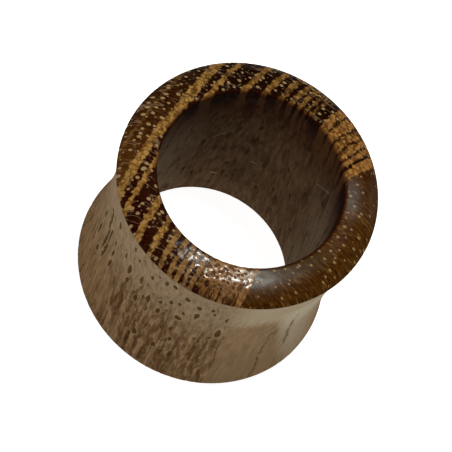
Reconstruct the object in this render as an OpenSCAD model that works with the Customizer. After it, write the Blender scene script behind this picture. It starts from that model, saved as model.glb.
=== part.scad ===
/* [Wearing size] */
// Diameter at the waist, where the stretched lobe sits
waist_d = 16; // [12:0.5:30]
// How far each flare stands out past the waist, measured on the radius
flare_step = 0.6; // [0.4:0.05:1.2]
// Distance along the axis between the two flare edges
wearing_l = 13.8; // [10:0.1:18]

/* [Wall] */
// Thickness of the wall at the waist
wall_t = 1.9; // [1.6:0.1:3]

/* [Rim] */
// How far each domed rim rises past its flare edge
dome_h = 0.9; // [0.4:0.05:1]
// Width of the narrow flat on top of the dome, which the piece stands on
land_w = 0.4; // [0.1:0.05:0.5]
// Radius of the round from the rim into the bore
mouth_round = 0.3; // [0.2:0.05:0.6]
// Length of the small chamfer that softens the flare edge, along each side
edge_chamfer = 0.08; // [0.04:0.01:0.15]

/* [Hidden] */

waist_r = waist_d / 2;
flare_r = waist_r + flare_step;
bore_r = waist_r - wall_t;
total_h = wearing_l + 2 * dome_h;

// Segments in a full turn of the body
turn_fn = 180;
// How far a cutting shape reaches past what it cuts
past = 1;

// The saddle is one arc through both flare edges and the waist
saddle_r = ((wearing_l / 2) ^ 2 + flare_step ^ 2) / (2 * flare_step);
saddle_c = [waist_r + saddle_r, total_h / 2];

// The dome is one arc from the outer side of the land down to the flare edge
land_r = bore_r + mouth_round + land_w;
dome_w = flare_r - land_r;
dome_r = (dome_w ^ 2 + dome_h ^ 2) / (2 * dome_h);
dome_c = [land_r, total_h - dome_r];

// The sharp flare edge, and where its chamfer starts on the saddle and on the dome
edge_p = [flare_r, total_h - dome_h];
edge_a = edge_p + turned(saddle_c - edge_p, -1) * edge_chamfer;
edge_b = edge_p + turned(edge_p - dome_c, 1) * edge_chamfer;

// The unit vector a quarter turn from v, to the left with side 1 and to the right with side -1
function turned(v, side) = [-v[1], v[0]] / norm(v) * side;

// What the saddle takes off the outside
module saddle_cut() {
    translate(saddle_c) circle(r = saddle_r, $fn = 720);
}

// What the dome takes off the top outer corner
module dome_cut() {
    difference() {
        translate([land_r, total_h - dome_h]) square([dome_w + past, dome_h + past]);
        translate(dome_c) circle(r = dome_r, $fn = turn_fn);
    }
}

// What the round takes off the top inner corner
module mouth_cut() {
    difference() {
        translate([bore_r - past, total_h - mouth_round]) square([mouth_round + past, mouth_round + past]);
        translate([bore_r + mouth_round, total_h - mouth_round]) circle(r = mouth_round, $fn = 96);
    }
}

// What the chamfer takes off the flare edge
module edge_cut() {
    run = edge_b - edge_a;
    out = turned(run, -1) * past;
    polygon([edge_a - run, edge_b + run, edge_b + run + out, edge_a - run + out]);
}

// Everything that shapes the top rim
module rim_cuts() {
    dome_cut();
    mouth_cut();
    edge_cut();
}

// Half section of the wall, with the axis at x = 0
module wall_section() {
    difference() {
        translate([bore_r, 0]) square([flare_r - bore_r, total_h]);
        saddle_cut();
        rim_cuts();
        translate([0, total_h]) mirror([0, 1]) rim_cuts();
    }
}

// The whole tunnel is turned from one piece of wood, with the grain along its axis
module tunnel() {
    color("#6b5239") rotate_extrude($fn = turn_fn) wall_section();
}

tunnel();
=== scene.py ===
"""A wooden flesh tunnel, turned from one piece with the grain along its axis, on a pale lit table."""

from collections import namedtuple
from math import asin, cos, degrees, hypot, pi, radians, sin
from types import SimpleNamespace

import bmesh
import bpy
from mathutils import Matrix, Vector


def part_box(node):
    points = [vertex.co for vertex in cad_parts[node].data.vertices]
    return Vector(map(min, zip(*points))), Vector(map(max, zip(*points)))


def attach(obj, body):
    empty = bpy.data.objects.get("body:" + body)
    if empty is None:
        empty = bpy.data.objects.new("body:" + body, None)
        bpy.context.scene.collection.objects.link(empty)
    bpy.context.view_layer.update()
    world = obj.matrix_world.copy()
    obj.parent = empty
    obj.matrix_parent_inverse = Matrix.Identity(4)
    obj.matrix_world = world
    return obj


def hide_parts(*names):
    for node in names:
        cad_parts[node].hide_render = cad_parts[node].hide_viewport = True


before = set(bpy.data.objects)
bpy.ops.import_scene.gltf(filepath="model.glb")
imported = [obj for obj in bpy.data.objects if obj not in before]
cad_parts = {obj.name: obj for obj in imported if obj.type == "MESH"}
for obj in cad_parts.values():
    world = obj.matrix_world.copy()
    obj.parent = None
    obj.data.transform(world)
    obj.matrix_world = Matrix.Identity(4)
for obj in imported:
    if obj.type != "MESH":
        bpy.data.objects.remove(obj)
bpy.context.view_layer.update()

# Sizes in millimetres, as on the turned solid
MM = 0.001
WOOD_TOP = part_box("tunnel")[1].z
TOTAL_H = WOOD_TOP / MM
MIDDLE = TOTAL_H / 2
WAIST_R = 8.0
FLARE_R = 8.6
BORE_R = 6.1
DOME_H = 0.9
LAND_W = 0.4
MOUTH_ROUND = 0.3
LAND_R = BORE_R + MOUTH_ROUND + LAND_W
EDGE_SOFT = 0.09
# Points closer than this are one
TINY = 0.001


def circle_through(rise, run):
    """Radius of the circle whose arc starts level and has dropped by rise where it has gone run sideways."""
    return (run ** 2 + rise ** 2) / (2 * rise)


SADDLE_HALF = MIDDLE - DOME_H
SADDLE_R = circle_through(FLARE_R - WAIST_R, SADDLE_HALF)
DOME_R = circle_through(DOME_H, FLARE_R - LAND_R)


# The turned form

# Faces along each stretch of the half section, and round the full turn
BORE_STEPS = 14
MOUTH_STEPS = 6
LAND_STEPS = 4
DOME_STEPS = 19
SADDLE_STEPS = 34
TURN_STEPS = 600


def last_vertex(result):
    return [part for part in result["geom_last"] if isinstance(part, bmesh.types.BMVert)][0]


def draw_arc(mesh, vertex, centre, turn, steps):
    """Carries the section on from vertex along an arc about centre, clockwise where turn is positive."""
    drawn = bmesh.ops.spin(mesh, geom=[vertex], cent=(centre[0], 0, centre[1]), axis=(0, 1, 0), angle=turn,
                           steps=steps, use_merge=False, use_duplicate=False)
    return last_vertex(drawn)


def draw_line(mesh, vertex, step, steps):
    """Carries the section on from vertex in straight steps."""
    drawn = bmesh.ops.spin(mesh, geom=[vertex], cent=(0, 0, 0), axis=(0, 1, 0), angle=0,
                           dvec=(step[0], 0, step[1]), steps=steps, use_merge=False, use_duplicate=False)
    return last_vertex(drawn)


def draw_half_section(mesh):
    """Half of the wall's section, from the middle of the bore over the upper rim to the waist."""
    vertex = mesh.verts.new((BORE_R, 0, MIDDLE))
    bore_half = MIDDLE - MOUTH_ROUND
    vertex = draw_line(mesh, vertex, (0, bore_half / BORE_STEPS), BORE_STEPS)
    mouth_centre = (BORE_R + MOUTH_ROUND, TOTAL_H - MOUTH_ROUND)
    vertex = draw_arc(mesh, vertex, mouth_centre, pi / 2, MOUTH_STEPS)
    vertex = draw_line(mesh, vertex, (LAND_W / LAND_STEPS, 0), LAND_STEPS)
    dome_turn = asin((FLARE_R - LAND_R) / DOME_R)
    vertex = draw_arc(mesh, vertex, (LAND_R, TOTAL_H - DOME_R), dome_turn, DOME_STEPS)
    saddle_turn = asin(SADDLE_HALF / SADDLE_R)
    draw_arc(mesh, vertex, (WAIST_R + SADDLE_R, MIDDLE), -saddle_turn, SADDLE_STEPS)


def on_flare_edge(edge):
    return all(hypot(vertex.co.x, vertex.co.y) > FLARE_R - TINY for vertex in edge.verts)


def turn_wood():
    """The whole form: the half section, mirrored, spun round the axis, with its flare edges softened."""
    mesh = bmesh.new()
    draw_half_section(mesh)
    half = mesh.verts[:] + mesh.edges[:]
    to_middle = Matrix.Translation((0, 0, -MIDDLE))
    bmesh.ops.mirror(mesh, geom=half, matrix=to_middle, merge_dist=TINY, axis="Z")
    section = mesh.verts[:] + mesh.edges[:]
    bmesh.ops.spin(mesh, geom=section, cent=(0, 0, 0), axis=(0, 0, 1), angle=2 * pi, steps=TURN_STEPS,
                   use_merge=True, use_duplicate=False)
    bmesh.ops.remove_doubles(mesh, verts=mesh.verts[:], dist=TINY)

    crisp = [edge for edge in mesh.edges if on_flare_edge(edge)]
    bmesh.ops.bevel(mesh, geom=crisp, offset=EDGE_SOFT, offset_type="OFFSET", affect="EDGES", segments=3,
                    profile=0.5, material=-1)
    bmesh.ops.recalc_face_normals(mesh, faces=mesh.faces[:])
    bmesh.ops.scale(mesh, vec=(MM, MM, MM), verts=mesh.verts[:])
    for face in mesh.faces:
        face.smooth = True

    data = bpy.data.meshes.new("wooden_tunnel")
    mesh.to_mesh(data)
    mesh.free()
    piece = bpy.data.objects.new("wooden_tunnel", data)
    bpy.context.scene.collection.objects.link(piece)
    return piece


# Sums that nodes work out, the same for a material and for a relief

def screen_colour(code):
    """The shader's colour for a code such as 6b5239, as a screen shows it."""
    shown = [int(code[i:i + 2], 16) / 255 for i in (0, 2, 4)]
    linear = [c / 12.92 if c <= 0.04045 else ((c + 0.055) / 1.055) ** 2.4 for c in shown]
    return (*linear, 1.0)


class Value:
    """What a node of a net gives at each point. Sums of it are written as with plain numbers."""

    def __init__(self, net, socket):
        self.net = net
        self.socket = socket

    def __add__(self, other):
        return self.net.maths("ADD", self, other)

    def __radd__(self, other):
        return self.net.maths("ADD", other, self)

    def __sub__(self, other):
        return self.net.maths("SUBTRACT", self, other)

    def __rsub__(self, other):
        return self.net.maths("SUBTRACT", other, self)

    def __mul__(self, other):
        return self.net.maths("MULTIPLY", self, other)

    def __rmul__(self, other):
        return self.net.maths("MULTIPLY", other, self)

    def __truediv__(self, other):
        return self.net.maths("DIVIDE", self, other)

    def __mod__(self, other):
        return self.net.maths("FLOORED_MODULO", self, other)

    def __pow__(self, other):
        return self.net.maths("POWER", self, other)

    def __abs__(self):
        return self.net.maths("ABSOLUTE", self)

    def ramp(self, start, stop, low=0.0, high=1.0):
        """Goes smoothly from low to high as this goes from start to stop."""
        node = self.net.add("ShaderNodeMapRange", interpolation_type="SMOOTHSTEP")
        for given, socket in zip((self, start, stop, low, high), node.inputs):
            self.net.put(given, socket)
        return Value(self.net, node.outputs[0])

    def tinted(self, share, tint):
        """This colour with a share of another over it."""
        return self.net.blend(share, self, tint)


class Net:
    """Adds nodes to the tree of a material or of a relief. A sum or a pattern is made after the nodes that
    feed it, because the render works them out in that order and can only hold so many values at once."""

    def __init__(self, tree):
        self.tree = tree

    def add(self, kind, **settings):
        node = self.tree.nodes.new(kind)
        for name, value in settings.items():
            setattr(node, name, value)
        return node

    def put(self, given, socket):
        """Links a value to a socket, or sets the socket to a number or to a colour's code."""
        if isinstance(given, Value):
            self.tree.links.new(given.socket, socket)
        elif isinstance(given, str):
            socket.default_value = screen_colour(given)
        else:
            socket.default_value = given

    def maths(self, operation, *given):
        node = self.add("ShaderNodeMath", operation=operation)
        for value, socket in zip(given, node.inputs):
            self.put(value, socket)
        return Value(self, node.outputs[0])

    def most(self, a, b):
        return self.maths("MAXIMUM", a, b)

    def least(self, a, b):
        return self.maths("MINIMUM", a, b)

    def point(self, x, y, z):
        node = self.add("ShaderNodeCombineXYZ")
        for value, socket in zip((x, y, z), node.inputs):
            self.put(value, socket)
        return Value(self, node.outputs[0])

    def parts(self, vector):
        node = self.add("ShaderNodeSeparateXYZ")
        self.put(vector, node.inputs[0])
        return [Value(self, socket) for socket in node.outputs]

    def grow(self, vector, factor):
        node = self.add("ShaderNodeVectorMath", operation="SCALE")
        self.put(vector, node.inputs[0])
        self.put(factor, node.inputs["Scale"])
        return Value(self, node.outputs[0])

    def length(self, x, y):
        place = self.point(x, y, 0.0)
        node = self.add("ShaderNodeVectorMath", operation="LENGTH")
        self.put(place, node.inputs[0])
        return Value(self, node.outputs["Value"])

    def noise(self, x, y, z, detail=2.0, roughness=0.5):
        """Smooth random values about 0.5, which change over a step of about 1 in x, y or z."""
        place = self.point(x, y, z)
        node = self.add("ShaderNodeTexNoise")
        self.put(place, node.inputs["Vector"])
        node.inputs["Scale"].default_value = 1.0
        node.inputs["Detail"].default_value = detail
        node.inputs["Roughness"].default_value = roughness
        return Value(self, node.outputs[0])

    def cell_pattern(self, x, y, width, feature):
        place = self.point(x, y, 0.0)
        node = self.add("ShaderNodeTexVoronoi", feature=feature, voronoi_dimensions="2D")
        self.put(place, node.inputs["Vector"])
        node.inputs["Scale"].default_value = 1 / width
        node.inputs["Randomness"].default_value = 0.9
        return node

    def cells(self, x, y, width):
        """Round cells: how far a point is from its cell's middle, that middle's x, and the cell's lot."""
        pattern = self.cell_pattern(x, y, width, "F1").outputs
        middle_x = self.parts(Value(self, pattern["Position"]))[0]
        lot = self.parts(Value(self, pattern["Color"]))[0]
        return Value(self, pattern["Distance"]), middle_x, lot

    def cell_outlines(self, x, y, width):
        """How far a point is from the outline of its cell."""
        pattern = self.cell_pattern(x, y, width, "DISTANCE_TO_EDGE").outputs
        return Value(self, pattern["Distance"])

    def blend(self, share, a, b):
        """Colour a where share is 0, and colour b where it is 1."""
        node = self.add("ShaderNodeMix", data_type="RGBA")
        self.put(share, node.inputs["Factor"])
        sockets = [socket for socket in node.inputs if socket.type == "RGBA"]
        self.put(a, sockets[0])
        self.put(b, sockets[1])
        mixed = [socket for socket in node.outputs if socket.type == "RGBA"][0]
        return Value(self, mixed)


# The grain of the wood. Places and widths in it are in millimetres, and angles are in degrees round the axis

# How far the grain leans from the axis along X and along Y for each millimetre up, and how far it sways
LEAN_X = -0.05
LEAN_Y = 0.18
SWAY = 0.32

# The rings cross the end grain in lines that bow about this place along Y. On the right they bow less and
# spread out
BOW_MIDDLE = -6.0
BOW = 0.0088
BOW_RIGHT = 0.00257
SPREAD_RIGHT = 0.00623

# Bands of pale soft tissue: place across the rings, width, and how strong the gold is
Band = namedtuple("Band", "place width gold")
BANDS = (
    Band(-8.20, 0.26, 0.22),
    Band(-6.85, 0.60, 1.00),
    Band(-5.92, 0.36, 1.00),
    Band(-4.36, 0.42, 1.00),
    Band(-3.22, 0.42, 1.00),
    Band(-2.25, 0.40, 0.80),
    Band(-1.52, 0.36, 0.85),
    Band(-0.95, 0.36, 0.95),
    Band(-0.45, 0.26, 0.80),
    Band(0.02, 0.32, 0.90),
    Band(1.14, 0.36, 0.95),
    Band(1.56, 0.36, 1.00),
    Band(1.98, 0.36, 1.00),
    Band(2.36, 0.28, 1.00),
    Band(2.68, 0.22, 0.95),
    Band(3.12, 0.40, 1.00),
)
# Just short of this place, at the far edge of the last band, the wood turns plain and brown
PLAIN_FROM = 3.36

# Widths of the cells that the lobes of a band, the vessels and the fine specks lie in
LOBE_CELL = 0.36
VESSEL_CELL = 0.50
SPECK_CELL = 0.26

# Length of a degree round the waist
DEGREE_MM = radians(1.0) * WAIST_R

# Long vessels that lie open along the outer wall: the angle, the heights between which one runs, how far it
# leans round for each millimetre up, and half its width. The first three are on the plain side
Groove = namedtuple("Groove", "angle low high lean width")
GROOVES = (
    Groove(320.6, 0.8, 8.4, 0.16, 0.10),
    Groove(322.8, 6.9, 8.6, 0.30, 0.16),
    Groove(332.0, 4.0, 10.4, -0.60, 0.17),
    Groove(242.0, 3.4, 8.9, 0.10, 0.14),
    Groove(245.4, 2.8, 7.4, 0.10, 0.12),
    Groove(250.4, 3.6, 10.6, 0.05, 0.13),
    Groove(256.8, 1.6, 9.4, 0.0, 0.15),
    Groove(261.6, 1.2, 7.6, 0.0, 0.13),
    Groove(266.8, 0.9, 9.6, 0.0, 0.14),
    Groove(273.4, 1.0, 8.6, 0.0, 0.14),
    Groove(278.6, 0.9, 8.0, 0.0, 0.15),
    Groove(286.6, 1.0, 8.6, 0.0, 0.17),
    Groove(290.6, 1.0, 7.4, 0.0, 0.12),
    Groove(293.8, 1.2, 7.8, 0.0, 0.14),
)

# Short vessels that lie open on the banded side of the outer wall: angle and height of the middle, half the
# width and half the height
Pore = namedtuple("Pore", "angle height wide tall")
PORES = (
    Pore(265.4, 13.45, 0.15, 0.36),
    Pore(257.2, 13.20, 0.10, 0.22),
    Pore(240.8, 13.10, 0.10, 0.32),
    Pore(261.3, 13.00, 0.13, 0.34),
    Pore(272.6, 12.65, 0.16, 0.34),
    Pore(285.0, 12.45, 0.13, 0.26),
    Pore(245.0, 12.40, 0.09, 0.32),
    Pore(226.2, 12.20, 0.15, 0.62),
    Pore(254.0, 12.05, 0.13, 0.34),
    Pore(279.1, 12.05, 0.17, 0.32),
    Pore(286.9, 11.70, 0.10, 0.22),
    Pore(293.2, 11.20, 0.08, 0.42),
    Pore(270.6, 11.15, 0.11, 0.20),
    Pore(219.5, 11.10, 0.10, 0.40),
    Pore(215.6, 10.90, 0.16, 0.50),
    Pore(266.8, 10.60, 0.15, 0.28),
    Pore(236.5, 10.50, 0.10, 0.40),
    Pore(279.9, 10.50, 0.16, 0.56),
    Pore(249.5, 10.25, 0.12, 0.62),
    Pore(274.0, 9.95, 0.11, 0.20),
    Pore(216.3, 9.90, 0.20, 1.20),
    Pore(241.4, 9.60, 0.18, 0.66),
    Pore(226.8, 9.55, 0.12, 0.30),
    Pore(262.2, 9.55, 0.13, 0.26),
    Pore(272.8, 8.95, 0.24, 0.30),
    Pore(221.0, 8.70, 0.12, 1.00),
    Pore(256.3, 8.70, 0.15, 0.58),
    Pore(293.2, 8.50, 0.17, 0.64),
    Pore(208.2, 8.30, 0.14, 0.60),
    Pore(263.0, 8.20, 0.17, 0.40),
    Pore(228.0, 8.10, 0.13, 0.56),
    Pore(242.4, 8.05, 0.13, 0.34),
    Pore(218.4, 7.60, 0.17, 1.60),
    Pore(250.7, 7.25, 0.15, 0.44),
    Pore(257.6, 7.25, 0.10, 0.40),
    Pore(228.8, 6.75, 0.13, 0.56),
    Pore(221.4, 6.60, 0.15, 1.10),
    Pore(208.8, 6.10, 0.13, 0.75),
    Pore(274.5, 5.50, 0.15, 0.26),
    Pore(215.6, 5.10, 0.12, 0.34),
    Pore(269.0, 3.75, 0.15, 0.30),
    Pore(258.2, 3.70, 0.16, 0.36),
    Pore(277.8, 3.55, 0.14, 0.40),
)

# Hairline scratches across the bore: angle and height of the middle, half the angle that one spans, and how
# far it climbs for each degree
Scratch = namedtuple("Scratch", "angle height half slope")
SCRATCHES = (
    Scratch(123.0, 8.9, 5.0, -0.10),
    Scratch(94.0, 6.1, 3.0, 0.0),
    Scratch(114.0, 2.9, 3.5, 0.0),
    Scratch(44.0, 11.3, 7.0, -0.12),
)
SCRATCH_HALF_WIDTH = 0.09

# Farther from every short vessel than the painted highlight of its pale lips reaches, where 1 is its own
# outline
FAR_OFF = 10.0

# How deep an open vessel is cut into a wall, and on the polished end grain how far a lobe swells and how far
# the holes of the net and the vessels sink
WALL_CUT = 0.09
LOBE_SWELL = 0.014
HOLE_SINK = 0.026
VESSEL_SINK = 0.006

# What is too fine to carve and only bends the light: fibres on the walls and on the rims, grit on the banded
# rims, brush marks on the plain rims, and the edges of stripes, grooves and open vessels on the outer wall
WALL_FIBRES = 0.020
RIM_FIBRES = 0.002
GRIT = 0.150
BRUSH_MARKS = 0.010
STRIPE_EDGE = 0.02
GROOVE_EDGE = 0.04
VESSEL_EDGE = 0.03

# The outer wall has a quieter patch with few stripes and chips, and a place where the stripes reach highest.
# The bore is painted darkest about its back and paler towards its sides, a painted grazing sheen
QUIET_ANGLE = 212.0
STRIPES_ANGLE = 265.0
BACK_ANGLE = 90.0


def follow_grain(net, x, y, z):
    """Where the grain through a point meets the top rim. It leans, and wanders a little on its way."""
    depth = z - TOTAL_H
    sway_x = net.noise(x * 0.30, y * 0.30, z * 0.30) - 0.5
    sway_y = net.noise(x * 0.30 + 40.0, y * 0.30, z * 0.30) - 0.5
    return x - depth * LEAN_X + sway_x * SWAY, y - depth * LEAN_Y + sway_y * SWAY


def place_across(net, x, y):
    """How far across the rings a point of the end grain is."""
    bow = (y - BOW_MIDDLE) ** 2.0
    left = x - bow * BOW
    right = (x - bow * BOW_RIGHT) / (bow * SPREAD_RIGHT + 1.0)
    return net.least(left, right)


def add_lobes(net, grain):
    """The lobes of soft tissue, and the lane across the rings that a point falls in. A lane is pulled to the
    middle of each lobe, which makes the edge of a band scalloped."""
    x, y, across = grain.x, grain.y, grain.across
    grain.waver = net.noise(x * 1.1, y * 0.7, 0.0, 3.0)
    grain.ragged = net.noise(x * 2.2, y * 2.2, 0.0)
    grain.torn = net.noise(x * 3.1, y * 3.1, 9.0, 3.0, 0.6)

    calm = across.ramp(0.0, 0.4) * y.ramp(-2.0, -4.0)
    wild = 1.0 - calm * 0.75
    rough_x = x + (grain.ragged - 0.5) * 0.30 * wild
    rough_y = y * 1.22 + (grain.torn - 0.5) * 0.50 * wild
    grain.from_centre, lobe_x, grain.lobe_tone = net.cells(rough_x, rough_y, LOBE_CELL)
    grain.outline = net.cell_outlines(rough_x, rough_y, LOBE_CELL)

    pull = (lobe_x - x) * grain.from_centre.ramp(0.62, 0.30, 0.0, 0.75) * across.ramp(0.9, 1.5, 1.0, 0.45)
    tear = (grain.torn - 0.5) * across.ramp(0.9, 1.5, 0.20, 0.10)
    shift = (grain.waver - 0.5) * 0.26
    grain.lane = across + pull + (shift + tear)
    grain.plain = grain.lane.ramp(PLAIN_FROM - 0.12, PLAIN_FROM - 0.05)
    grain.banded = 1.0 - grain.plain


def add_bands(net, grain):
    """How much soft tissue there is. Towards -Y the close bands run together in a net, which is pierced by
    the darker middles of its cells."""
    x, y, across, lane = grain.x, grain.y, grain.across, grain.lane
    bands = 0.0
    for band in BANDS:
        inside = band.width / 2 - abs(lane - band.place)
        bands = net.most(bands, inside.ramp(-0.03, 0.05) * band.gold)
    worn = net.noise(x * 1.3, y * 0.8, 7.0)
    bands = bands * worn.ramp(0.32, 0.46, 0.45, 1.0)

    # Towards +Y the bands are broken, most of all the one before the dark gap
    thin = y.ramp(2.0, 4.0) * abs(across - 0.04).ramp(0.42, 0.30)
    bands = bands * (1.0 - thin * grain.torn.ramp(0.56, 0.46, 0.10, 0.80))
    broken = y.ramp(3.0, 5.0) * abs(across + 1.3).ramp(2.2, 1.6)
    bands = bands * (1.0 - broken * grain.ragged.ramp(0.48, 0.38, 0.0, 0.65))

    # Outside the net, and short of the last band, they are nearly lost
    short = lane.ramp(2.90, 2.80)
    outer = y.ramp(-7.2, -7.7) * across.ramp(0.2, 0.5) * short
    bands = bands * (1.0 - outer * grain.torn.ramp(0.44, 0.56, 0.75, 0.15))

    net_edge = y + (worn - 0.5) * 1.6 + across.ramp(1.3, 0.9, 0.0, 0.7)
    zone = across.ramp(0.20, 0.45) * grain.banded * y.ramp(-2.0, -5.0) * short
    grain.net_zone = zone * net_edge.ramp(-7.8, -7.35)
    speckled = net.noise(x * 1.7, y * 1.7, 3.0) + y.ramp(-7.2, -7.9, 0.15, 0.0)
    grain.bands = net.most(bands, grain.net_zone * speckled.ramp(0.36, 0.50, 0.0, 0.92))
    hole_size = grain.lobe_tone * 0.24 + grain.ragged.ramp(0.35, 0.65, 0.14, 0.32)
    grain.holes = (hole_size - grain.from_centre).ramp(-0.06, 0.08) * grain.net_zone


def add_vessels(net, grain):
    """Vessels are tubes along the grain, a little wider across the rings. They are fewer and smaller in the
    plain wood, and smaller where the bands are close. Specks are finer ones."""
    x, y = grain.x, grain.y
    distance, _, lot = net.cells(x * 0.82, y * 1.20, VESSEL_CELL)
    reach = lot.ramp(0.10, 1.0, 0.10, 0.27) * grain.banded + lot.ramp(0.12, 1.0, 0.03, 0.21) * grain.plain
    close = y.ramp(-2.5, -5.0) * grain.across.ramp(-2.9, -2.3)
    reach = reach * (y.ramp(1.5, 4.5, 1.0, 0.84) - close * 0.20)
    grain.vessels = (reach - distance).ramp(-0.03, 0.06) * reach.ramp(0.06, 0.10)

    distance, _, lot = net.cells(x, y * 1.1, SPECK_CELL)
    grain.specks = (lot.ramp(0.60, 1.0, 0.0, 0.26) - distance).ramp(-0.02, 0.08)


def add_rays(net, grain, z):
    """Rays are thin broken lines that cross the rings. Finer rays, flecks, clouds and slits lie between."""
    x, y = grain.x, grain.y
    coarse = net.noise(x * 0.35, y * 2.0, z * 0.6, 1.0)
    grain.rays = abs(coarse - 0.5).ramp(0.026, 0.006) * grain.waver.ramp(0.44, 0.56)
    grain.fine_rays = net.noise(x * 2.0, y * 10.5, z * 0.8, 3.0, 0.6).ramp(0.38, 0.62)
    grain.flecks = net.noise(x * 1.7, y * 6.5, z * 0.8).ramp(0.57, 0.66)
    grain.clouds = net.noise(x * 0.7, y * 0.7, 0.0, 3.0).ramp(0.34, 0.66)
    grain.slits = net.noise(grain.across * 4.2, y * 1.5, z * 0.5, 3.0, 0.55).ramp(0.44, 0.38)


def wood_grain(net, x, y, z):
    """The pattern at a point of the wood, mostly as shares from 0 to 1."""
    x, y = follow_grain(net, x, y, z)
    grain = SimpleNamespace(x=x, y=y, across=place_across(net, x, y))
    add_lobes(net, grain)
    add_bands(net, grain)
    add_vessels(net, grain)
    add_rays(net, grain, z)
    return grain


def line_share(off, half_width, along, low, high, soft):
    """A thin line: 1 where off is near 0 and along is between low and high."""
    core = abs(off).ramp(half_width, half_width * 0.35)
    ends = along.ramp(low, low + soft) * along.ramp(high, high - soft)
    return core * ends


def long_grooves(net, x, y, z, angle):
    """The long open vessels of the outer wall, which waver and break up."""
    waver = net.noise(x * 0.5, y * 0.5, z * 0.9)
    break_up = net.noise(x * 0.5, y * 0.5, z * 1.6)
    grooves = 0.0
    for groove in GROOVES:
        middle = (groove.low + groove.high) / 2
        course = (z - middle) * groove.lean + groove.angle + (waver - 0.5) * 4.0
        off = (angle - course) * DEGREE_MM
        grooves = net.most(grooves, line_share(off, groove.width, z, groove.low, groove.high, 0.6))
    return grooves * break_up.ramp(0.34, 0.50, 0.20, 0.68)


def nearest_pore(net, x, y, z, angle):
    """How far the nearest short open vessel is, where 1 is on its ragged outline."""
    ragged = net.noise(x * 2.6, y * 2.6, z * 2.6)
    round_by = angle + (ragged - 0.5) * 2.0
    up_by = z + (ragged - 0.5) * -0.4
    nearest = FAR_OFF
    for pore in PORES:
        per_degree = DEGREE_MM / pore.wide
        off = net.maths("MULTIPLY_ADD", round_by, per_degree, -pore.angle * per_degree)
        up = net.maths("MULTIPLY_ADD", up_by, 1 / pore.tall, -pore.height / pore.tall)
        nearest = net.least(nearest, net.length(off, up))
    return nearest


def hairline_scratches(net, z, angle):
    scratches = 0.0
    for scratch in SCRATCHES:
        off = z - ((angle - scratch.angle) * scratch.slope + scratch.height)
        start = scratch.angle - scratch.half
        end = scratch.angle + scratch.half
        scratches = net.most(scratches, line_share(off, SCRATCH_HALF_WIDTH, angle, start, end, 2.0))
    return scratches


def wall_marks(net, x, y, z):
    """The angle round the axis, the open grooves and pores outside with the pale lips of the pores, which
    are a painted highlight, and the scratches inside."""
    angle = net.maths("ARCTAN2", y, x) * degrees(1.0) % 360.0
    nearest = nearest_pore(net, x, y, z, angle)
    grooves = net.most(long_grooves(net, x, y, z, angle), nearest.ramp(1.25, 0.75))
    # Pale lips round each pore: a painted highlight where light catches its edge
    lips = nearest.ramp(2.0, 1.3) * nearest.ramp(0.9, 1.2)
    scratches = hairline_scratches(net, z, angle)
    return SimpleNamespace(angle=angle, grooves=grooves, lips=lips, scratches=scratches)


def finish_shares(net, x, y, z):
    """Where the wood is polished and oiled: on the rims, as far as the crisp edge outside. It fades into the
    bore, deeper from the upper rim than from the lower one."""
    radius = net.maths("SQRT", x * x + y * y)
    inside = radius.ramp(7.2, 6.45)
    seep = net.noise(x, y, z * 0.25, 3.0, 0.6)
    above = z - MIDDLE + (seep - 0.5) * 2.2
    below = MIDDLE - z + (seep - 0.5) * 0.6
    polished_inside = net.most(above.ramp(4.3, 7.3), below.ramp(7.2, 7.7))
    polished_outside = abs(z - MIDDLE).ramp(SADDLE_HALF - 0.07, SADDLE_HALF - 0.01)
    polish = inside * polished_inside + (1.0 - inside) * polished_outside
    return SimpleNamespace(polish=polish, inside=inside, radius=radius)


def open_vessels(net, grain, z):
    """Vessels cut open along the walls, in stretches. Few of them show in the plain wood."""
    stretch = net.noise(grain.x * 1.6, grain.y * 1.6, z * 1.1).ramp(0.38, 0.50)
    stretch = net.most(stretch, z.ramp(8.5, 10.5))
    return grain.vessels * stretch * (1.0 - grain.plain * 0.8)


def wall_stripes(net, grain, z, angle):
    """Dark stripes along the grain, low on the banded side, with few in the quieter patch."""
    across, y = grain.across, grain.y
    broad = net.noise(across * 2.6, y * 0.9, z * 0.10, 3.0, 0.6).ramp(0.48, 0.56, 0.0, 0.50)
    lines = abs(net.noise(across * 1.7 + 50.0, y * 0.3, z * 0.08) - 0.5).ramp(0.070, 0.025)
    broken = net.noise(grain.x * 1.2, y * 0.6 + 20.0, z * 0.45).ramp(0.36, 0.50, 0.10, 0.85)
    stripes = net.most(broad, lines * broken)

    lowered = z - abs(angle - STRIPES_ANGLE).ramp(14.0, 6.0, 0.0, 1.2)
    stripes = stripes * (lowered.ramp(10.0, 7.4) * grain.banded)
    stripes = stripes * abs(angle - QUIET_ANGLE).ramp(32.0, 22.0, 1.0, 0.25)
    return stripes * (1.0 - grain.bands * 0.6)


def rim_height(grain):
    """How far the polished end grain swells or sinks."""
    lobes = grain.from_centre.ramp(0.60, 0.0) * grain.bands
    height = lobes * LOBE_SWELL - grain.holes * HOLE_SINK
    return height - grain.vessels * (1.0 - grain.bands) * VESSEL_SINK


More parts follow.
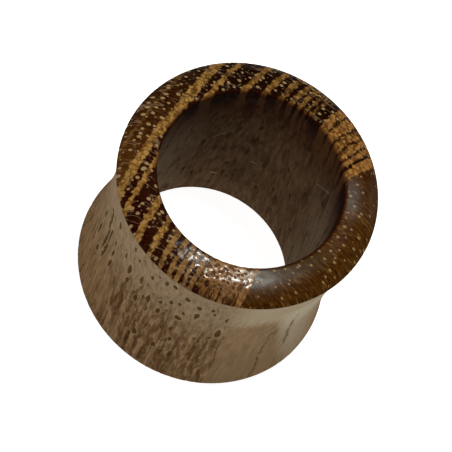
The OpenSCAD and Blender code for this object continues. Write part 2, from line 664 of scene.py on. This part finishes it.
def carve_relief(piece):
    """Sinks the open vessels of the walls and gives the rims the slight swells of polished end grain."""
    tree = bpy.data.node_groups.new("wood_relief", "GeometryNodeTree")
    tree.interface.new_socket("Geometry", in_out="INPUT", socket_type="NodeSocketGeometry")
    tree.interface.new_socket("Geometry", in_out="OUTPUT", socket_type="NodeSocketGeometry")
    net = Net(tree)
    source = net.add("NodeGroupInput")
    target = net.add("NodeGroupOutput")
    place = Value(net, net.add("GeometryNodeInputPosition").outputs[0])
    normal = Value(net, net.add("GeometryNodeInputNormal").outputs[0])
    x, y, z = net.parts(net.grow(place, 1 / MM))
    grain = wood_grain(net, x, y, z)
    finish = finish_shares(net, x, y, z)
    marks = wall_marks(net, x, y, z)

    walls = net.most(open_vessels(net, grain, z), marks.grooves * (1.0 - finish.inside)) * -WALL_CUT
    height = finish.polish * rim_height(grain) + (1.0 - finish.polish) * walls
    move = net.add("GeometryNodeSetPosition")
    net.put(Value(net, source.outputs[0]), move.inputs["Geometry"])
    net.put(net.grow(normal, height * MM), move.inputs["Offset"])
    net.put(Value(net, move.outputs[0]), target.inputs[0])

    modifier = piece.modifiers.new("wood_relief", "NODES")
    modifier.node_group = tree
    bpy.context.view_layer.update()
    carved = piece.evaluated_get(bpy.context.evaluated_depsgraph_get())
    data = bpy.data.meshes.new_from_object(carved)
    piece.modifiers.clear()
    uncarved = piece.data
    piece.data = data
    bpy.data.meshes.remove(uncarved)


# Colours of the wood

def close_bands(grain, full):
    """Where the bands are close together towards -Y. The share is full from this place across the rings."""
    return grain.y.ramp(-3.0, -5.5) * grain.across.ramp(-2.9, full)


def band_colour(net, grain):
    """Golden lobes with soft brown outlines, more orange on the right, or the brown pierced net. The middle
    of each lobe carries a painted highlight, and towards +Y the gold is painted darker as shade on the far
    side of the rim.
    """
    x, y, across, from_centre = grain.x, grain.y, grain.across, grain.from_centre
    left = net.blend(grain.lobe_tone, "5f4119", "9c7638")
    right = net.blend(grain.lobe_tone, "583414", "8e5f2c")
    gold = net.blend(across.ramp(-0.5, 1.5), left, right)
    # Painted highlight: each lobe is paler in its middle, as light on its swell
    gold = gold.tinted(from_centre.ramp(0.52, 0.08, 0.0, 0.45), "ae8242")
    ring = abs(from_centre - 0.34).ramp(0.12, 0.03) * grain.ragged.ramp(0.42, 0.60, 0.0, 0.36)
    gold = gold.tinted(ring * across.ramp(1.0, 0.0), "b58a5e")

    # The outlines of the lobes are darker towards +Y, and fainter in the last band
    outline = grain.outline + (grain.ragged - 0.5) * 0.25
    seams = outline.ramp(0.16, 0.0, 0.0, 0.50) + from_centre.ramp(0.42, 0.70, 0.0, 0.35)
    seams = seams * y.ramp(-1.0, 2.5, 1.0, 1.5)
    smooth = across.ramp(2.78, 2.88, 1.0, 0.25)
    gold = gold.tinted(net.least(seams, 0.9) * smooth, "3f1e05")

    warm = net.noise(x * 1.9, y * 1.9, 5.0).ramp(0.4, 0.6)
    gold = gold.tinted(warm * 0.25, "96602e")
    mottle = net.noise(x * 6.0, y * 6.0, 2.0)
    gold = gold.tinted(mottle.ramp(0.54, 0.68, 0.0, 0.40), "b48c4a")
    gold = gold.tinted(mottle.ramp(0.48, 0.36, 0.0, 0.45), "4f3010")
    # Painted shade: the gold is darker towards +Y, on the far side of the rim
    dim = y.ramp(3.0, 7.0, 0.0, 0.42) * across.ramp(1.1, 0.6)
    gold = gold.tinted(dim, "4a3014")
    gold = gold.tinted(close_bands(grain, -2.0) * 0.34, "85603f")
    cell_walls = net.blend(y.ramp(-7.9, -7.2), "785020", "8c6238")
    gold = gold.tinted(grain.net_zone * 0.6, cell_walls)
    return gold.tinted(grain.holes * 0.82, "452410")


def ground_colour(net, grain, radius):
    """The dark wood between the bands, more olive on the left, or the plain brown wood. Both are painted
    darker towards +Y, as shade on the far side of the rim.
    """
    y, across = grain.y, grain.across
    dark = net.blend(grain.fine_rays, "1c0300", "2b0c03")
    olive = net.blend(grain.fine_rays, "210c00", "3e2209")
    left = across.ramp(-6.6, -7.2)
    ground = net.blend(net.most(left, grain.clouds * 0.30), dark, olive)
    # Painted shade: the ground is darker towards +Y, on the far side of the rim
    ground = ground.tinted(y.ramp(0.5, 6.0, 0.0, 0.66), "0c0400")
    ground = ground.tinted(y.ramp(0.5, -4.0, 0.0, 0.16) * left, "8a5420")
    ground = ground.tinted(grain.rays * 0.42, "8f7258")

    brown = net.blend(grain.fine_rays, "311602", "4c2d08")
    brown = brown.tinted(grain.clouds * 0.3, "412504")
    brown = brown.tinted(grain.flecks * 0.28, "8a6532")
    tanned = radius.ramp(7.5, 7.0, 0.0, 0.45) * y.ramp(-0.5, -3.0)
    brown = brown.tinted(tanned, "322408")
    # Painted shade: the plain wood is darker towards +Y, on the far side of the rim
    brown = brown.tinted(y.ramp(0.5, 5.0, 0.0, 0.5), "2c1203")
    return net.blend(grain.plain, ground, brown)


def rim_colour(net, grain, radius):
    """Polished end grain: the ground, the golden bands, and the pale specks and dots of the vessels."""
    rim = net.blend(grain.bands, ground_colour(net, grain, radius), band_colour(net, grain))
    specks = grain.specks * grain.across.ramp(-6.9, -6.5)
    specks = specks * (1.0 - net.most(grain.bands, grain.plain))
    rim = rim.tinted(specks * 0.55, "8a705a")
    dots = grain.vessels * grain.bands.ramp(0.2, 0.9, 0.72, 0.28)
    dots = dots * (1.0 - grain.plain * 0.25)
    dots = dots * (1.0 - grain.net_zone * 0.8)
    dots = dots * (1.0 - close_bands(grain, -2.3) * grain.banded * 0.35)
    return rim.tinted(dots, "a5865c")


def pale_bloom_and_painted_sheen(streaks, z, angle):
    """A pale bloom under the rim on the plain side: paler wood, with a painted grazing sheen that reaches
    lower and is palest towards the far side.
    """
    far_side = angle + streaks * 14.0
    right = angle.ramp(288.0, 305.0) * far_side.ramp(372.0, 344.0)
    # Towards the far side the bloom is a painted sheen, as where light grazes the wall
    border = angle.ramp(318.0, 345.0, 10.0, 3.0) + streaks * -0.8
    bloom = right * (z - border).ramp(angle.ramp(315.0, 335.0, 0.0, -5.0), 1.8)
    palest = angle.ramp(314.0, 328.0) * (z.ramp(6.5, 9.0) * z.ramp(13.0, 11.2))
    return bloom * (palest * 0.34 + 0.48)


def wall_colour(net, grain, streaks, z, marks):
    """Plain turned wood of the outer wall: paler under the rim, browner and more streaked below. The paler
    top and darker foot are partly painted shade, and the pale bloom is partly a painted sheen.
    """
    angle = marks.angle
    streaks = (streaks - 0.5) * angle.ramp(QUIET_ANGLE, 240.0, 0.35, 1.0) + 0.5
    low = net.blend(streaks, "6a5035", "876b4c")
    high = net.blend(streaks, "7a654e", "8c775d")
    # Paler high and darker low: partly browner wood below, partly painted shade
    wall = net.blend(z.ramp(3.0, 13.5), low, high)
    even = net.blend(streaks, "7e664a", "8b7254")
    # Darker low down: partly browner wood, partly painted shade
    even = even.tinted(z.ramp(6.0, 1.0, 0.0, 0.25), "6a5136")
    wall = wall.tinted(grain.plain * 0.85, even)
    # Paler wood under the rim, with a painted grazing sheen towards the far side
    wall = wall.tinted(pale_bloom_and_painted_sheen(streaks, z, angle), "b0a48c")
    wall = wall.tinted(wall_stripes(net, grain, z, angle) * 0.80, "4a2f18")

    # Low on the banded side the surface is chipped in pale and dark flakes
    chips = net.noise(grain.across * 2.8, grain.y * 0.7, z * 0.85, 2.0, 0.6)
    chipped = z.ramp(9.5, 6.5) * grain.banded * abs(angle - QUIET_ANGLE).ramp(32.0, 22.0, 1.0, 0.35)
    wall = wall.tinted(chips.ramp(0.54, 0.64, 0.0, 0.36) * chipped, "a88d66")
    wall = wall.tinted(chips.ramp(0.46, 0.37, 0.0, 0.50) * chipped, "55331a")

    slits = grain.slits * z.ramp(11.0, 7.0, 0.10, 0.50)
    wall = wall.tinted(slits * (1.0 - grain.plain * 0.8), "47290c")
    wall = wall.tinted(open_vessels(net, grain, z) * 0.65, "3d260c")
    # Painted highlight on the lips of the pores
    wall = wall.tinted(marks.lips * 0.30, "a58c68")
    return wall.tinted(marks.grooves * 0.80, "412a0e")


def bore_colour(net, grain, streaks, z, marks):
    """Plain wood of the bore: darker than outside, red brown near the upper rim, and painted paler towards
    its sides as a grazing sheen.
    """
    bore = net.blend(streaks, "5b442d", "796047")
    # Painted sheen: the bore is paler and greyer towards its sides, away from its back
    aside = abs(marks.angle - BACK_ANGLE)
    bore = bore.tinted(aside.ramp(35.0, 70.0, 0.0, 0.52), "94826a")
    smears = net.noise(grain.x, grain.y, z * 0.35, 3.0, 0.6)
    bore = bore.tinted(smears.ramp(0.55, 0.66, 0.0, 0.50), "2e1c0d")
    bore = bore.tinted(z.ramp(9.0, 3.0, 0.0, 0.32), "2a1c10")
    bore = bore.tinted(z.ramp(9.5, 14.0) * 0.50, "5a3017")
    bore = bore.tinted(grain.slits * 0.22, "2b1a0a")
    bore = bore.tinted(open_vessels(net, grain, z) * 0.60, "24150a")
    return bore.tinted(marks.scratches * 0.62, "a8957a")


def oiled_colour(net, grain, rim, radius):
    """The oiled end of the bore, darker than the rim that it leads up to."""
    oiled = net.blend(grain.bands * 0.48, "2e1006", "8c5c2a")
    oiled = oiled.tinted(grain.vessels * 0.45, "1c0802")
    return net.blend(radius.ramp(BORE_R + 0.06, BORE_R + 0.24), oiled, rim)


def rim_gloss(net, grain, y, radius):
    """How glossy the polish is. The plain wood of the rims takes it where it was rubbed, on two stretches of
    the turn, and so do the close bands towards -Y. The loose bands and the holes of the net stay dull."""
    across = grain.across
    close = across.ramp(-2.8, -0.4) * radius.ramp(6.15, 6.50) * grain.y.ramp(2.0, -4.0) * grain.banded
    brighter = across.ramp(1.1, 1.9, 0.50, 1.25) + abs(across + 0.30).ramp(0.32, 0.12, 0.0, 0.45)
    close = close * brighter * across.ramp(-1.4, -0.6, 0.45, 1.0) * (1.0 - grain.holes * 0.85)

    toward_y = y / radius
    rubbed = toward_y.ramp(-0.40, -0.80, 0.06, 0.30) + toward_y.ramp(-0.70, -0.90, 0.0, 0.65)
    rubbed = rubbed + abs(toward_y - 0.34).ramp(0.26, 0.06, 0.0, 0.36)
    rubbed = rubbed * grain.torn.ramp(0.35, 0.65, 0.72, 1.24)
    gloss = net.most(grain.plain * rubbed, close)
    return gloss * radius.ramp(FLARE_R - 0.10, FLARE_R - 0.90) * radius.ramp(BORE_R + 0.01, BORE_R + 0.12)


def fine_relief(net, grain, finish, marks, x, y, z):
    """Heights too fine for the mesh: fibres, grit and brush marks, and the sharp edges of what is carved."""
    fibres = net.noise(x * 9.0, y * 9.0, z * 1.2, 3.0, 0.6)
    grit = (net.noise(x * 1.5, y * 1.5, z * 1.5, 1.0) - 0.5) * grain.banded * GRIT
    grit = grit * grain.across.ramp(1.3, 2.0, 1.0, 0.66)
    brush = net.noise(x * 16.0, y * 22.0, z * 16.0, 1.0)
    grit = grit + brush * grain.plain * BRUSH_MARKS
    rims = finish.polish * (grit + rim_height(grain))
    edges = wall_stripes(net, grain, z, marks.angle) * STRIPE_EDGE + marks.grooves * GROOVE_EDGE
    edges = edges + open_vessels(net, grain, z) * VESSEL_EDGE
    edges = edges * (1.0 - finish.polish) * (1.0 - finish.inside)
    return fibres * finish.polish.ramp(0.0, 1.0, WALL_FIBRES, RIM_FIBRES) + rims - edges


def wood_material():
    material = bpy.data.materials.new("banded_hardwood")
    material.use_nodes = True
    tree = material.node_tree
    tree.nodes.clear()
    net = Net(tree)
    place = Value(net, net.add("ShaderNodeTexCoord").outputs["Object"])
    x, y, z = net.parts(net.grow(place, 1 / MM))
    grain = wood_grain(net, x, y, z)
    finish = finish_shares(net, x, y, z)
    marks = wall_marks(net, x, y, z)
    streaks = net.noise(grain.x * 4.0, grain.y * 4.0, z * 0.40, 4.0, 0.65).ramp(0.34, 0.66)

    rim = rim_colour(net, grain, finish.radius)
    wall = wall_colour(net, grain, streaks, z, marks)
    bore = bore_colour(net, grain, streaks, z, marks)
    oiled = oiled_colour(net, grain, rim, finish.radius)
    unpolished = net.blend(finish.inside, wall, bore)
    polished = net.blend(finish.inside, rim, oiled)

    shader = net.add("ShaderNodeBsdfPrincipled")
    net.put(net.blend(finish.polish, unpolished, polished), shader.inputs["Base Color"])
    net.put(finish.polish.ramp(0.0, 1.0, 0.90, 0.60), shader.inputs["Roughness"])
    net.put(finish.polish * rim_gloss(net, grain, y, finish.radius), shader.inputs["Coat Weight"])
    softness = net.most(grain.across.ramp(1.3, 2.0, 0.22, 0.27), grain.plain.ramp(0.0, 1.0, 0.22, 0.38))
    net.put(softness, shader.inputs["Coat Roughness"])
    shader.inputs["Specular IOR Level"].default_value = 0.01

    bump = net.add("ShaderNodeBump")
    bump.inputs["Strength"].default_value = 1.0
    bump.inputs["Distance"].default_value = MM
    net.put(fine_relief(net, grain, finish, marks, x, y, z), bump.inputs["Height"])
    bent = Value(net, bump.outputs[0])
    net.put(bent, shader.inputs["Normal"])
    net.put(bent, shader.inputs["Coat Normal"])
    output = net.add("ShaderNodeOutputMaterial")
    net.put(Value(net, shader.outputs[0]), output.inputs["Surface"])
    return material


tunnel = turn_wood()
carve_relief(tunnel)
tunnel.data.materials.clear()
tunnel.data.materials.append(wood_material())
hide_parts("tunnel")
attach(tunnel, "root")


# The lit table

TABLE_HALF = 2.0
TABLE_GREY = (0.55, 0.55, 0.55, 1.0)
TABLE_GLOW = 0.95
WHITE = (1.0, 1.0, 1.0, 1.0)


def table_material():
    material = bpy.data.materials.new("lit_table")
    material.use_nodes = True
    shader = material.node_tree.nodes["Principled BSDF"]
    shader.inputs["Base Color"].default_value = TABLE_GREY
    shader.inputs["Roughness"].default_value = 0.9
    shader.inputs["Specular IOR Level"].default_value = 0.1
    shader.inputs["Emission Color"].default_value = WHITE
    shader.inputs["Emission Strength"].default_value = TABLE_GLOW
    return material


def lay_table():
    mesh = bmesh.new()
    bmesh.ops.create_grid(mesh, x_segments=1, y_segments=1, size=TABLE_HALF)
    data = bpy.data.meshes.new("table")
    mesh.to_mesh(data)
    mesh.free()
    table = bpy.data.objects.new("table", data)
    bpy.context.scene.collection.objects.link(table)
    table.data.materials.append(table_material())


lay_table()


# Light

ROOM_GLOW = 0.06


def aimed(toward):
    """Rotation of a light that looks along toward."""
    return toward.to_track_quat("-Z", "Y")


def soft_light(name, direction, distance, size, power, tint=(1.0, 1.0, 1.0)):
    """A square soft light that stands in the given direction from the tunnel and faces it."""
    data = bpy.data.lights.new(name, "AREA")
    data.shape = "SQUARE"
    data.size = size
    data.energy = power
    data.color = tint
    light = bpy.data.objects.new(name, data)
    way = Vector(direction).normalized()
    light.location = Vector((0, 0, MIDDLE * MM)) + way * distance
    light.rotation_mode = "QUATERNION"
    light.rotation_quaternion = aimed(-way)
    bpy.context.scene.collection.objects.link(light)


def light_room():
    """A dim even room, in the colours as they are."""
    world = bpy.data.worlds.new("room")
    world.use_nodes = True
    background = world.node_tree.nodes["Background"]
    background.inputs["Color"].default_value = WHITE
    background.inputs["Strength"].default_value = ROOM_GLOW
    bpy.context.scene.world = world
    bpy.context.scene.view_settings.view_transform = "Standard"


soft_light("overhead", (0.07, 0.16, 0.985), distance=0.40, size=0.05, power=1.10, tint=(0.97, 1.0, 0.95))
soft_light("rear", (-0.05, 0.53, 0.85), distance=0.60, size=0.30, power=0.9, tint=(0.97, 1.0, 0.88))
soft_light("front_left", (-0.45, -0.50, 0.75), distance=0.60, size=0.35, power=0.7)
light_room()


# The camera, at the photograph's angle

PHOTO_W = 452
SENSOR_W = 36.0
# Focal length in the photograph's pixels, and the size there of a millimetre at the upper flare
FOCAL_PX = 2700.0
PX_PER_MM = 15.693
# Where the middle of the upper flare shows, from the photograph's top left corner
FLARE_AT = (248.7, 183.5)
# Angle between the view and the tunnel's axis, and how far the axis leans right of the photograph's upright
VIEW_TILT = radians(26.72)
VIEW_ROLL = radians(30.15)


def add_camera():
    forward = Vector((0, sin(VIEW_TILT), -cos(VIEW_TILT)))
    level = Vector((1, 0, 0))
    raised = Vector((0, cos(VIEW_TILT), sin(VIEW_TILT)))
    right = level * cos(VIEW_ROLL) + raised * sin(VIEW_ROLL)
    up = raised * cos(VIEW_ROLL) - level * sin(VIEW_ROLL)
    distance = FOCAL_PX / PX_PER_MM
    right_by = (FLARE_AT[0] - PHOTO_W / 2) / PX_PER_MM
    up_by = (PHOTO_W / 2 - FLARE_AT[1]) / PX_PER_MM
    flare = Vector((0, 0, TOTAL_H - DOME_H))
    data = bpy.data.cameras.new("camera")
    data.sensor_width = SENSOR_W
    data.lens = SENSOR_W * FOCAL_PX / PHOTO_W
    data.clip_start = 0.01
    data.clip_end = 10.0
    camera = bpy.data.objects.new("camera", data)
    turn = Matrix((right, up, -forward)).transposed()
    camera.rotation_mode = "QUATERNION"
    camera.rotation_quaternion = turn.to_quaternion()
    camera.location = (flare - right * right_by - up * up_by - forward * distance) * MM
    bpy.context.scene.collection.objects.link(camera)
    bpy.context.scene.camera = camera


add_camera()
